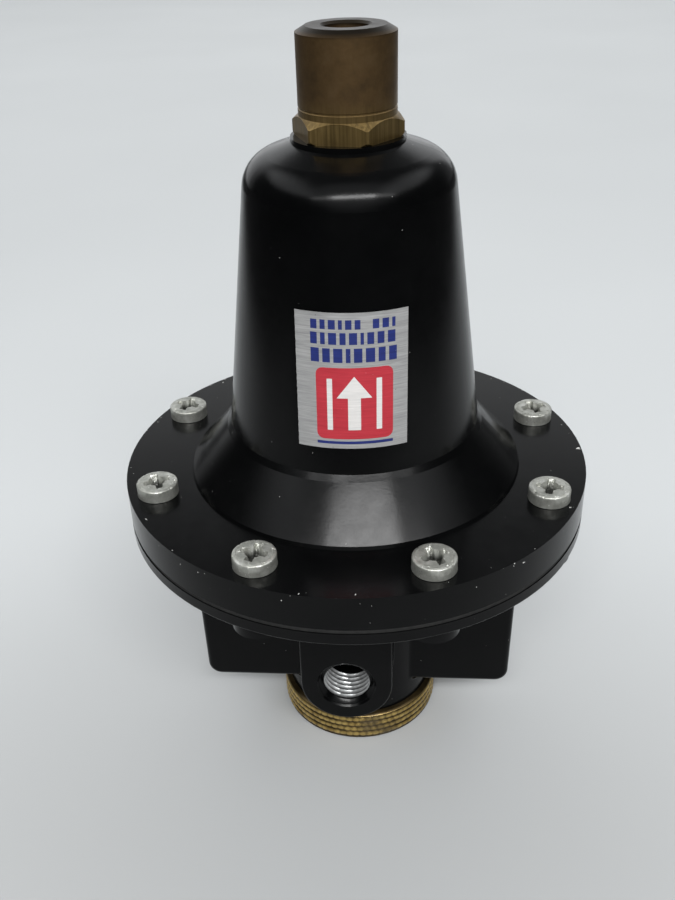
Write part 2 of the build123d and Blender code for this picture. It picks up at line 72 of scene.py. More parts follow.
mounts = {m["name"]: m for m in frame["record"]["mounts"]}
label_low, label_high = box_mm("label")
FLANGE_R = box_mm("bonnet")[1].x
PLUG_R = box_mm("bottom_plug")[1].x
RIM_Z = 75.4                 # top face of the bonnet's flange, where the screws' heads sit
CONE_SLOPE = 0.1204          # the bonnet's taper, radius lost per millimetre of height
HEX_TOP_Z, BARREL_Z = 153.5, 158.5      # the bushing's colour turns from hexagon to barrel between
GAUGE_CREST, GAUGE_PITCH = 5.66, 1.411  # 1/4 NPT
PORT_CREST, PORT_PITCH = 9.13, 1.814    # 1/2 NPT
ROOT_GAP = 0.03              # between a thread sleeve and the bore's wall
END_GAP = 0.25               # the sleeve stops this far short of the bore's ends
MOUTH = 0.9                  # depth of the painted countersink


# ---- mesh helpers -------------------------------------------------------------
def finish_mesh(bm, name, sharp_deg=35):
    bmesh.ops.recalc_face_normals(bm, faces=bm.faces)
    mesh = bpy.data.meshes.new(name)
    bm.to_mesh(mesh)
    bm.free()
    mesh.shade_smooth()
    mesh.set_sharp_from_angle(angle=radians(sharp_deg))
    piece = bpy.data.objects.new(name, mesh)
    bpy.context.scene.collection.objects.link(piece)
    return piece


def span(start, end, count):
    """count evenly spaced numbers from start to end, both included."""
    return [start + (end - start) * k / (count - 1) for k in range(count)]


def smooth_step(low, high, value):
    t = min(1.0, max(0.0, (value - low) / (high - low)))
    return t * t * (3 - 2 * t)


def add_rings(bm, profile, steps, relief=None, loop=False):
    """A turned surface. profile holds (radius, height) in millimetres; relief shifts them by angle."""
    rings = []
    for radius, height in profile:
        count = 1 if radius < 1e-6 else steps
        ring = []
        for k in range(count):
            a = tau * k / steps
            r, z = relief(a, radius, height) if relief else (radius, height)
            ring.append(bm.verts.new((r * cos(a) * MM, r * sin(a) * MM, z * MM)))
        rings.append(ring)
    pairs = list(zip(rings, rings[1:]))
    if loop:
        pairs.append((rings[-1], rings[0]))
    for low, high in pairs:
        for k in range(steps):
            j = (k + 1) % steps
            if len(low) == 1:
                bm.faces.new((low[0], high[j], high[k]))
            elif len(high) == 1:
                bm.faces.new((low[k], low[j], high[0]))
            else:
                bm.faces.new((low[k], low[j], high[j], high[k]))


def turned(name, profile, steps, relief=None, loop=False, sharp_deg=35):
    bm = bmesh.new()
    add_rings(bm, profile, steps, relief, loop)
    return finish_mesh(bm, name, sharp_deg)


def mark_hollows(piece, depth_of):
    """Store how deep each vertex lies, 0 to 1, for the material's painted shade."""
    layer = piece.data.attributes.new("hollow", "FLOAT", "POINT")
    for vertex, value in zip(piece.data.vertices, layer.data):
        value.value = min(1.0, max(0.0, depth_of(vertex.co / MM)))


def place(piece, matrix):
    piece.data.transform(matrix)
    return piece


def coil(name, radius, wire, low, high, turns):
    """A closed compression spring: its end turns lie flat. Millimetres."""
    per_turn, round_steps = 40, 10
    flat = 0.09              # the share of its length that each end lies flat for
    total = int(turns * per_turn)
    bm = bmesh.new()
    rings = []
    for k in range(total + 1):
        t = k / total
        a = tau * turns * t
        even = min(1.0, max(0.0, (t - flat) / (1 - 2 * flat)))
        lift = smooth_step(0.06, 0.94, t) * 0.25 + 0.75 * even
        centre = Vector((radius * cos(a), radius * sin(a), low + wire + (high - low - 2 * wire) * lift))
        out = Vector((cos(a), sin(a), 0))
        ring = []
        for s in range(round_steps):
            b = tau * s / round_steps
            ring.append(bm.verts.new((centre + wire * (out * cos(b) + Vector((0, 0, sin(b))))) * MM))
        rings.append(ring)
    for first, second in zip(rings, rings[1:]):
        for s in range(round_steps):
            j = (s + 1) % round_steps
            bm.faces.new((first[s], first[j], second[j], second[s]))
    bm.faces.new(rings[0])
    bm.faces.new(list(reversed(rings[-1])))
    return finish_mesh(bm, name)


# ---- material helpers -----------------------------------------------------------
def node(tree, kind, inputs=None, **settings):
    made = tree.nodes.new("ShaderNode" + kind)
    for key, value in settings.items():
        setattr(made, key, value)
    for key, value in (inputs or {}).items():
        socket = made.inputs[key]
        if isinstance(value, bpy.types.NodeSocket):
            tree.links.new(value, socket)
        else:
            socket.default_value = value
    return made


def places(tree, scale=(1, 1, 1)):
    """Object coordinates in millimetres, stretched by scale."""
    coords = node(tree, "TexCoord").outputs["Object"]
    factors = [s / MM for s in scale]
    return node(tree, "Mapping", {"Vector": coords, "Scale": factors}).outputs["Vector"]


def hollows(tree):
    """What mark_hollows stored: 1 deep in a recess or a thread's root, 0 elsewhere; the strength of the
    painted shade.
    """
    return node(tree, "Attribute", attribute_name="hollow").outputs["Fac"]


def grain(tree, vector, scale, detail=4.0, rough=0.55):
    made = node(tree, "TexNoise", {"Vector": vector, "Scale": scale, "Detail": detail, "Roughness": rough})
    return made.outputs["Fac"]


def ramp(tree, factor, stops):
    made = node(tree, "ValToRGB", {"Fac": factor})
    while len(made.color_ramp.elements) < len(stops):
        made.color_ramp.elements.new(0.5)
    for element, (position, colour) in zip(made.color_ramp.elements, stops):
        element.position = position
        shade = colour if hasattr(colour, "__len__") else (colour,) * 3
        element.color = (*shade, 1.0)
    return made.outputs["Color"]


def mix(tree, factor, first, second, blend_type="MIX"):
    made = node(tree, "MixRGB", {"Fac": factor}, blend_type=blend_type)
    for name, value in (("Color1", first), ("Color2", second)):
        if isinstance(value, bpy.types.NodeSocket):
            tree.links.new(value, made.inputs[name])
        else:
            made.inputs[name].default_value = (*value, 1.0)
    return made.outputs["Color"]


def maths(tree, operation, first, second=0.0):
    return node(tree, "Math", {0: first, 1: second}, operation=operation).outputs[0]


def bump(tree, height, distance_mm, strength=1.0, normal=None):
    inputs = {"Height": height, "Distance": distance_mm * MM, "Strength": strength}
    if normal is not None:
        inputs["Normal"] = normal
    return node(tree, "Bump", inputs).outputs["Normal"]


def map_range(tree, value, start, end, low=0.0, high=1.0, smooth=False):
    shape = "SMOOTHSTEP" if smooth else "LINEAR"
    limits = {"Value": value, "From Min": start, "From Max": end, "To Min": low, "To Max": high}
    return node(tree, "MapRange", limits, interpolation_type=shape).outputs[0]


def xyz(tree, vector):
    split = node(tree, "SeparateXYZ", {"Vector": vector})
    return [split.outputs[k] for k in range(3)]


def from_axis(tree, x, y):
    """Distance of a point from the object's vertical axis."""
    squares = maths(tree, "ADD", maths(tree, "MULTIPLY", x, x), maths(tree, "MULTIPLY", y, y))
    return maths(tree, "SQRT", squares)


def specks(tree, vector, per_mm, size, share):
    """White dots: one cell in several holds a dot. size is in cell widths, share is of the cells."""
    cells = node(tree, "TexVoronoi", {"Vector": vector, "Scale": per_mm}, voronoi_dimensions="3D")
    draw = node(tree, "SeparateColor", {"Color": cells.outputs["Color"]}).outputs[0]
    chosen = maths(tree, "LESS_THAN", draw, share)
    near = maths(tree, "LESS_THAN", cells.outputs["Distance"], size)
    return maths(tree, "MULTIPLY", chosen, near)


def material(name, build, **sockets):
    made = bpy.data.materials.new(name)
    made.use_nodes = True
    tree = made.node_tree
    shader = tree.nodes["Principled BSDF"]
    for key, value in sockets.items():
        shader.inputs[key.replace("_", " ")].default_value = value
    for key, value in build(tree).items():
        tree.links.new(value, shader.inputs[key])
    return made


# ---- materials --------------------------------------------------------------------
def paint_nodes(tree):
    """Satin black stove paint: faint orange peel, dust, and chips on the flange's rim."""
    at = places(tree)
    cloud = grain(tree, at, 0.09, 3.0)
    base = ramp(tree, cloud, [(0.3, (0.0012, 0.0013, 0.0014)), (0.7, (0.0021, 0.0022, 0.0023))])
    dust = specks(tree, at, 0.55, 0.055, 0.10)
    base = mix(tree, dust, base, (0.22, 0.22, 0.21))
    fine = specks(tree, at, 1.1, 0.05, 0.05)
    base = mix(tree, fine, base, (0.10, 0.10, 0.10))
    x, y, z = xyz(tree, at)
    outside = maths(tree, "GREATER_THAN", from_axis(tree, x, y), FLANGE_R - 1.5)
    on_rim = maths(tree, "MULTIPLY", outside, maths(tree, "GREATER_THAN", z, RIM_Z - 2.2))
    flakes = grain(tree, at, 0.75, 2.0)
    chips = maths(tree, "MULTIPLY", on_rim, maths(tree, "GREATER_THAN", flakes, 0.715))
    base = mix(tree, chips, base, (0.5, 0.5, 0.48))
    rough = ramp(tree, grain(tree, at, 0.35, 5.0), [(0.25, 0.15), (0.75, 0.22)])
    rough = mix(tree, chips, rough, (0.55, 0.55, 0.55))
    peel = bump(tree, grain(tree, at, 1.6, 2.0), 0.012, 0.5)
    peel = bump(tree, maths(tree, "ADD", dust, fine), 0.03, 0.6, peel)
    return {"Base Color": base, "Roughness": rough, "Normal": peel}


def aged_brass_nodes(tree):
    """Browned turned brass: blotches, faint turning lines, vertical draw marks on the hexagon, and painted
    shade darkening the top face.
    """
    at = places(tree)
    height = xyz(tree, at)[2]
    blotch = grain(tree, at, 0.22, 5.0, 0.6)
    barrel = ramp(tree, blotch, [(0.28, (0.072, 0.045, 0.021)), (0.52, (0.125, 0.077, 0.033)),
                                 (0.75, (0.175, 0.112, 0.053))])
    striped = grain(tree, places(tree, (1, 1, 0.02)), 1.7, 4.0, 0.6)
    hexagon = ramp(tree, striped, [(0.3, (0.095, 0.064, 0.023)), (0.55, (0.185, 0.126, 0.046)),
                                   (0.8, (0.30, 0.208, 0.083))])
    low_part = map_range(tree, height, HEX_TOP_Z, BARREL_Z, 1.0, 0.0)
    colour = mix(tree, low_part, barrel, hexagon)
    stain = grain(tree, at, 1.4, 4.0, 0.65)
    colour = mix(tree, ramp(tree, stain, [(0.62, 0.0), (0.8, 0.45)]), colour, (0.088, 0.058, 0.035))
    # painted shade: the top face is darkened nearly to black
    top_face_painted_shade = map_range(tree, height, 169.3, 170.3)
    colour = mix(tree, top_face_painted_shade, colour, (0.022, 0.017, 0.011))
    scratch = grain(tree, places(tree, (0.12, 0.12, 1)), 3.2, 3.0)
    rough = ramp(tree, blotch, [(0.3, 0.46), (0.7, 0.36)])
    lines = bump(tree, scratch, 0.02, 0.35)
    lines = bump(tree, striped, 0.05, 0.25, lines)
    return {"Base Color": colour, "Roughness": rough, "Normal": lines}


def knurl_nodes(tree):
    """Dull gold brass, rubbed bright on the knurl's points, with painted shade darkening the valleys
    between them.
    """
    at = places(tree)
    x, y, _ = xyz(tree, at)
    # painted shade: below the knurl's points the colour turns dark towards the valleys
    high = map_range(tree, from_axis(tree, x, y), PLUG_R - 0.36, PLUG_R - 0.08)
    tone = grain(tree, at, 0.25, 4.0, 0.6)
    points = ramp(tree, tone, [(0.3, (0.35, 0.232, 0.072)), (0.55, (0.60, 0.435, 0.15)),
                               (0.75, (0.66, 0.49, 0.20))])
    groove_painted_shade = ramp(tree, tone, [(0.3, (0.035, 0.025, 0.012)), (0.7, (0.105, 0.072, 0.030))])
    colour = mix(tree, high, groove_painted_shade, points)
    tarnish = ramp(tree, grain(tree, at, 0.14, 5.0, 0.6), [(0.54, 0.0), (0.70, 0.75)])
    colour = mix(tree, tarnish, colour, (0.11, 0.085, 0.05))
    rough = ramp(tree, grain(tree, at, 2.0), [(0.3, 0.28), (0.7, 0.42)])
    return {"Base Color": colour, "Roughness": rough, "Normal": bump(tree, grain(tree, at, 5.0), 0.03, 0.4)}


def clean_brass_nodes(tree):
    at = places(tree)
    colour = ramp(tree, grain(tree, at, 0.3, 4.0), [(0.3, (0.50, 0.36, 0.14)), (0.7, (0.68, 0.52, 0.24))])
    rings = grain(tree, places(tree, (0.1, 0.1, 1)), 4.0, 2.0)
    return {"Base Color": colour, "Roughness": ramp(tree, rings, [(0.3, 0.22), (0.7, 0.36)]),
            "Normal": bump(tree, rings, 0.02, 0.4)}


def zinc_nodes(tree):
    """Dull zinc plate, worn and speckled, with painted shade darkening the recess."""
    at = places(tree)
    cloud = grain(tree, at, 0.5, 5.0, 0.6)
    colour = ramp(tree, cloud, [(0.28, (0.26, 0.265, 0.24)), (0.5, (0.42, 0.425, 0.385)),
                                (0.75, (0.60, 0.605, 0.57))])
    pits = ramp(tree, grain(tree, at, 4.0, 3.0, 0.6), [(0.60, 0.0), (0.70, 0.7)])
    colour = mix(tree, pits, colour, (0.075, 0.077, 0.068))
    bright = specks(tree, at, 1.6, 0.2, 0.14)
    colour = mix(tree, bright, colour, (0.75, 0.76, 0.73))
    # painted shade: the cross recess darkens with its depth
    recess_painted_shade = ramp(tree, hollows(tree), [(0.25, 0.0), (0.9, 0.92)])
    colour = mix(tree, recess_painted_shade, colour, (0.03, 0.03, 0.027))
    rough = ramp(tree, cloud, [(0.3, 0.50), (0.7, 0.32)])
    dents = bump(tree, grain(tree, at, 2.8, 5.0, 0.65), 0.10, 0.7)
    return {"Base Color": colour, "Roughness": rough, "Normal": dents}


def steel_nodes(tree):
    at = places(tree)
    cloud = grain(tree, at, 0.3, 4.0)
    colour = ramp(tree, cloud, [(0.3, (0.38, 0.385, 0.38)), (0.7, (0.56, 0.56, 0.55))])
    brushed = grain(tree, places(tree, (1, 0.05, 1)), 3.0, 3.0)
    return {"Base Color": colour, "Roughness": ramp(tree, brushed, [(0.3, 0.28), (0.7, 0.42)]),
            "Normal": bump(tree, brushed, 0.02, 0.4)}


def spring_nodes(tree):
    at = places(tree)
    cloud = grain(tree, at, 0.6, 4.0)
    colour = ramp(tree, cloud, [(0.3, (0.13, 0.13, 0.14)), (0.7, (0.27, 0.27, 0.285))])
    return {"Base Color": colour, "Roughness": ramp(tree, cloud, [(0.3, 0.3), (0.7, 0.45)]),
            "Normal": bump(tree, grain(tree, at, 6.0), 0.02, 0.4)}


def rubber_nodes(tree):
    """Black rubber sheet with cord fabric showing faintly through it."""
    at = places(tree)
    cloud = grain(tree, at, 0.8, 4.0)
    colour = ramp(tree, cloud, [(0.3, (0.008, 0.008, 0.008)), (0.7, (0.02, 0.02, 0.019))])
    weave = node(tree, "TexWave", {"Vector": at, "Scale": 1.3, "Distortion": 1.0}).outputs["Fac"]
    return {"Base Color": colour, "Roughness": ramp(tree, cloud, [(0.3, 0.6), (0.7, 0.8)]),
            "Normal": bump(tree, weave, 0.03, 0.3)}


def foil_nodes(tree):
    """Brushed aluminium foil: fine lines run across, with a few darker creases."""
    brushed = grain(tree, places(tree, (0.035, 0.035, 1)), 4.5, 5.0, 0.65)
    colour = ramp(tree, brushed, [(0.25, (0.26, 0.26, 0.26)), (0.5, (0.37, 0.37, 0.368)),
                                  (0.75, (0.50, 0.50, 0.495))])
    creases = ramp(tree, grain(tree, places(tree, (0.06, 0.06, 1)), 1.3, 3.0), [(0.62, 0.0), (0.70, 0.35)])
    colour = mix(tree, creases, colour, (0.20, 0.20, 0.205))
    dirt = specks(tree, places(tree), 0.7, 0.07, 0.08)
    colour = mix(tree, dirt, colour, (0.05, 0.05, 0.05))
    return {"Base Color": colour, "Roughness": ramp(tree, brushed, [(0.3, 0.34), (0.7, 0.5)]),
            "Normal": bump(tree, brushed, 0.015, 0.35)}


def ink_nodes(dark, light):
    """Screen-printed ink over the foil's brushing."""

    def build(tree):
        brushed = grain(tree, places(tree, (0.035, 0.035, 1)), 4.5, 4.0, 0.65)
        colour = ramp(tree, brushed, [(0.3, dark), (0.7, light)])
        worn = specks(tree, places(tree), 2.2, 0.1, 0.06)
        return {"Base Color": mix(tree, worn, colour, (0.4, 0.4, 0.4)),
                "Roughness": ramp(tree, brushed, [(0.3, 0.42), (0.7, 0.52)]),
                "Normal": bump(tree, brushed, 0.01, 0.3)}

    return build


def bare_aluminium_nodes(tree):
    """Cut threads: grey crests, with painted shade darkening the roots."""
    at = places(tree)
    cloud = grain(tree, at, 1.2, 4.0)
    colour = ramp(tree, cloud, [(0.3, (0.42, 0.43, 0.43)), (0.7, (0.62, 0.63, 0.63))])
    specky = specks(tree, at, 2.5, 0.25, 0.10)
    colour = mix(tree, specky, colour, (0.25, 0.25, 0.25))
    # painted shade: the thread's roots darken with their depth
    shadow = ramp(tree, hollows(tree), [(0.15, 0.0), (0.75, 0.96)])
    colour = mix(tree, shadow, colour, (0.006, 0.006, 0.007))
    return {"Base Color": colour, "Roughness": ramp(tree, cloud, [(0.3, 0.30), (0.7, 0.42)]),
            "Normal": bump(tree, grain(tree, at, 5.0), 0.012, 0.4)}


def floor_nodes(tree):
    """A pale sheet, with painted shade darkening it towards the camera. Seen in reflections only, it is
    painted dark to the sides and front, a painted reflection of a dim room.
    """
    at = places(tree)
    cloud = grain(tree, at, 0.004, 2.0)
    sheet = ramp(tree, cloud, [(0.3, (0.47, 0.485, 0.49)), (0.7, (0.49, 0.505, 0.51))])
    x, y, _ = xyz(tree, at)
    side = map_range(tree, maths(tree, "ABSOLUTE", x), 330.0, 460.0)
    front = map_range(tree, y, -210.0, -330.0)
    # painted shade: darker towards the camera, in place of the lights' falling off
    near = map_range(tree, y, 90.0, -75.0, high=0.75, smooth=True)
    sheet = mix(tree, near, sheet, (0.33, 0.335, 0.335))
    # painted reflection: to glossy rays the sheet turns dark at the sides and front
    mirrored = node(tree, "LightPath").outputs["Is Glossy Ray"]
    dark_reflection_painted = maths(tree, "MULTIPLY", maths(tree, "MAXIMUM", side, front), mirrored)
    return {"Base Color": mix(tree, dark_reflection_painted, sheet, (0.03, 0.03, 0.03))}


looks = {
    "black_paint": material("black_paint_look", paint_nodes, Specular_IOR_Level=0.13),
    "brass_worn": material("brass_worn_look", aged_brass_nodes, Metallic=0.85),
    "brass_knurl": material("brass_knurl_look", knurl_nodes, Metallic=0.9),
    "brass_inner": material("brass_inner_look", clean_brass_nodes, Metallic=1.0),
    "zinc_screw": material("zinc_screw_look", zinc_nodes, Metallic=0.75),
    "steel": material("steel_look", steel_nodes, Metallic=1.0),
    "spring_steel": material("spring_steel_look", spring_nodes, Metallic=1.0),
    "rubber": material("rubber_look", rubber_nodes, Specular_IOR_Level=0.3),
    "foil": material("foil_look", foil_nodes, Metallic=0.45),
    "bare_aluminium": material("bare_aluminium_look", bare_aluminium_nodes, Metallic=0.7),
    "ink_blue": material("ink_blue_look", ink_nodes((0.004, 0.010, 0.085), (0.008, 0.020, 0.15))),
    "ink_red": material("ink_red_look", ink_nodes((0.30, 0.012, 0.022), (0.44, 0.025, 0.04))),
    "ink_white": material("ink_white_look", ink_nodes((0.50, 0.49, 0.48), (0.64, 0.62, 0.60))),
}


def dress(piece, look):
    piece.data.materials.clear()
    piece.data.materials.append(looks[look])
    return piece


def finish_piece(piece, body, look):
    dress(piece, look)
    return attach(piece, body)


# ---- carried-over CAD nodes ----------------------------------------------------------
for cad_node in frame["nodes"].values():
    slot_name = cad_node.material_slots[0].material.name.split(".")[0]
    cad_node.material_slots[0].material = looks[slot_name]


# ---- knurled bottom plug ---------------------------------------------------------------
def bottom_plug():
    outer = PLUG_R
    top = 8.5                # the knurled head's upper face
    band_low, band_high = 0.95, 7.75
    rows, columns, depth = 4, 74, 0.42
    row_steps, column_steps = 7, 6

    def relief(angle, r, z):
        if r < outer - 0.9 or not band_low <= z <= band_high:
            return r, z
        across = (z - band_low) / (band_high - band_low) * rows
        along = angle / tau * columns + 0.33 * int(across)
        ridge = abs(sin(pi * across)) ** 1.1 * (0.52 + 0.48 * abs(sin(pi * along)) ** 0.8)
        wear = 0.10 * noise.noise(Vector((cos(angle) * 9, sin(angle) * 9, z * 0.6)))
        return r - depth * (1.0 - ridge) - max(0.0, wear), z

    neck_r, groove_r, cup_r, guide_r, bore_r = 14.0, 12.4, 9.0, 5.5, 3.06
    neck_top, cup_floor, guide_top, bore_floor = 16.9, 6.0, 14.2, 4.5
    profile = [(0, 0), (outer - 1.6, 0), (outer - 0.75, 0.15), (outer - 0.35, 0.6)]
    profile += [(outer, z) for z in span(band_low, band_high, rows * row_steps + 1)]
    profile += [(outer - 0.25, 8.0), (outer - 0.75, top), (neck_r, top)]
    profile += [(neck_r, 10.2), (groove_r, 10.2), (groove_r, 12.0), (neck_r, 12.0)]     # seal groove
    profile += [(neck_r, 16.3), (13.4, neck_top), (cup_r, neck_top), (cup_r, cup_floor),
                (guide_r, cup_floor), (guide_r, guide_top), (bore_r, guide_top),
                (bore_r, bore_floor), (0, bore_floor)]
    piece = turned("knurled_bottom_plug", profile, columns * column_steps, relief, sharp_deg=48)
    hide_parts("bottom_plug")
    return finish_piece(piece, "housing", "brass_knurl")


# ---- flange screws -----------------------------------------------------------------------
def recess_depth(x, y, wobble):
    """How deep the cross recess is at a point of the head's top, in millimetres."""
    deep = 2.3
    half_width, reach, middle_r = 0.82, 3.0, 1.9
    side_slope, end_slope, middle_slope = 0.20, 1.3, 0.8   # how far each wall takes to reach the floor

    def arm(along, across):
        side = (half_width + wobble - abs(across)) / side_slope
        end = (reach + wobble * 2 - abs(along)) / end_slope
        return deep * min(1.0, max(0.0, min(side, end)))

    middle = deep * min(1.0, max(0.0, (middle_r - sqrt(x * x + y * y)) / middle_slope))
    return max(arm(x, y), arm(y, x), middle)


def flange_screw(index):
    cad_name = f"flange_screw_{index + 1}"
    low, high = box_mm(cad_name)
    centre = (low + high) / 2
    head_r = (high.x - low.x) / 2
    seat, top = RIM_Z, high.z
    turn = radians(20.0 + 47.0 * index)      # no two recesses stand alike
    recess_r = 3.3

    def relief(angle, r, z):
        seed = Vector((r * cos(angle) * 0.8, r * sin(angle) * 0.8, z * 0.8 + 20.0 * index))
        rough = noise.noise(seed)
        if r > head_r - 0.9 and z > seat + 0.2:      # dents round the head's edge
            dent = max(0.0, noise.noise(seed * 2.3) - 0.22) * 0.5
            return r - 0.03 - dent * 0.5 - 0.03 * abs(rough), z - dent
        if z < seat or r > head_r - 0.5:
            return r, z
        # the top: the recess, a raised burr along it, and a rough surface
        x, y = r * cos(angle - turn), r * sin(angle - turn)
        fine = noise.noise(seed * 3.0)
        depth = recess_depth(x, y, 0.16 * fine)
        edge = recess_depth(x * 0.86, y * 0.86, 0.2)
        burr = 0.10 * max(0.0, fine) if depth < 0.05 and edge > 0.05 else 0.0
        return r, z - depth - 0.04 * abs(rough) - 0.05 + min(burr, 0.05)

    shank = 2.41
    profile = [(0, low.z), (shank - 0.5, low.z), (shank, low.z + 0.5), (shank, seat),
               (head_r - 0.12, seat), (head_r, seat + 0.12)]
    profile += [(head_r, z) for z in span(seat + 0.6, top - 0.66, 5)]
    profile += [(head_r - 0.05, top - 0.52), (head_r - 0.20, top - 0.40), (head_r - 0.42, top - 0.33)]
    profile += [(r, top - 0.30 * (r / head_r) ** 2) for r in span(head_r - 0.6, 0.12, 34)]
    profile += [(0, top)]
    piece = turned(f"worn_{cad_name}", profile, 128, relief, sharp_deg=40)
    # depth in the cross recess, for the zinc look's painted shade
    mark_hollows(piece, lambda at: (top - 0.5 - at.z) / 1.6 if at.xy.length < recess_r else 0.0)
    place(piece, Matrix.Translation(Vector((centre.x, centre.y, 0)) * MM))
    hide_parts(cad_name)
    return finish_piece(piece, "housing", "zinc_screw")


# ---- cut threads in the ports ----------------------------------------------------------------
def port_matrix(mount):
    turn = Vector(mount["axis"]).to_track_quat("Z", "Y").to_matrix().to_4x4()
    return Matrix.Translation(Vector(mount["pos_m"])) @ turn


def thread_sleeve(name, mount_name, crest, pitch):
    """The ridges of a pipe thread, as a closed sleeve against the bore's wall."""
    mount = mounts[mount_name]
    root = mount["dims"]["r_mm"] - ROOT_GAP
    length = mount["dims"]["length_mm"] - 2 * END_GAP
    steps, per_pitch = 96, 10
    low, high = -length / 2, length / 2 - MOUTH

    def relief(angle, r, z):
        if r > root - 0.01:      # the sleeve's plain back
            return r, z
        phase = (z / pitch - angle / tau) % 1.0
        ridge = min(1.0, max(0.0, 1.12 - 1.24 * abs(2.0 * phase - 1.0)))
        fade = smooth_step(0.0, pitch * 0.6, min(z - low, high - z))
        return root - 0.04 - (root - 0.04 - crest) * ridge * fade, z

    count = int((high - low) / pitch * per_pitch)
    inside = [(crest, z) for z in span(high, low, count)]
    profile = [(root, low), (root, high)] + inside
    piece = turned(name, profile, steps, relief, loop=True, sharp_deg=40)
    # depth in the thread, for the painted shade in its roots
    mark_hollows(piece, lambda at: (sqrt(at.x ** 2 + at.y ** 2) - crest) / (root - crest))
    place(piece, port_matrix(mount))
    return finish_piece(piece, "housing", "bare_aluminium")


def port_mouth(name, mount_name, crest):
    """The painted countersink in front of a port's threads."""
    mount = mounts[mount_name]
    root = mount["dims"]["r_mm"] - ROOT_GAP
    end = mount["dims"]["length_mm"] / 2
    low = end - END_GAP - MOUTH + 0.02
    profile = [(root, low), (root, end - 0.05), (root - 0.12, end - 0.05),
               (crest + 0.12, low + 0.35), (crest - 0.05, low + 0.1), (crest - 0.05, low)]
    piece = turned(name, profile, 96, loop=True, sharp_deg=40)
    place(piece, port_matrix(mount))
    return finish_piece(piece, "housing", "black_paint")


def bushing_thread():
    """The first turns of the bushing's own thread, above the adjusting screw."""
    screw_top = box_mm("adjusting_screw")[1].z
    bush_top = box_mm("bonnet_bushing")[1].z
    low, high = screw_top + 0.4, bush_top - 1.0
    wall, crest, pitch, per_pitch = 4.55, 4.02, PORT_PITCH, 8

    def relief(angle, r, z):
        if r > wall - 0.01:
            return r, z
        phase = (z / pitch - angle / tau) % 1.0
        ridge = min(0.9, max(0.1, 1.0 - abs(2.0 * phase - 1.0)))
        fade = smooth_step(0.0, pitch, min(z - low, high - z))
        return wall - 0.05 - (wall - 0.05 - crest) * ridge * fade, z

    count = int((high - low) / pitch * per_pitch)
    profile = [(wall, low), (wall, high)] + [(crest, z) for z in span(high, low, count)]
    piece = turned("bushing_thread", profile, 64, relief, loop=True, sharp_deg=60)
    return finish_piece(piece, "housing", "brass_worn")


# ---- foil label ------------------------------------------------------------------------------
def cone_radius(z):
    """Outer face of the CAD label at a height, in millimetres."""
    return -label_low.y + (label_low.z - z) * CONE_SLOPE


def wrapped(name, outlines, lift, thickness, cell=0.8):
    """Flat outlines of (x, z) points wrapped on the bonnet's taper as thin closed slabs."""
    bm = bmesh.new()
    for outline in outlines:
        bm.faces.new([bm.verts.new((x, 0.0, z)) for x, z in outline])
    low_x = min(v.co.x for v in bm.verts)
    high_x = max(v.co.x for v in bm.verts)
    cuts = int((high_x - low_x) / cell)
    for k in range(1, cuts):
        x = low_x + (high_x - low_x) * k / cuts
        geometry = bm.verts[:] + bm.edges[:] + bm.faces[:]
        bmesh.ops.bisect_plane(bm, geom=geometry, plane_co=(x, 0, 0), plane_no=(1, 0, 0), dist=1e-5)
    top = bmesh.ops.extrude_face_region(bm, geom=bm.faces[:])
    for vert in (v for v in top["geom"] if isinstance(v, bmesh.types.BMVert)):
        vert.co.y = 1.0
    for vert in bm.verts:
        x, side, z = vert.co
        radius = cone_radius(z) + lift + (thickness if side > 0.5 else 0.0)
        vert.co = Vector((x, -sqrt(radius * radius - x * x), z)) * MM
    return finish_mesh(bm, name, sharp_deg=40)


def block(x0, z0, x1, z1):
    return [(x0, z0), (x1, z0), (x1, z1), (x0, z1)]


def dash_row(left, right, low, high, widths, gap):
    """A row of plain blocks from left to right. A negative width is a space."""
    used = sum(abs(w) for w in widths) + gap * (len(widths) - 1)
    unit = (right - left) / used
    blocks, x = [], left
    for width in widths:
        if width > 0:
            blocks.append(block(x, low, x + width * unit, high))
        x += (abs(width) + gap) * unit
    return blocks


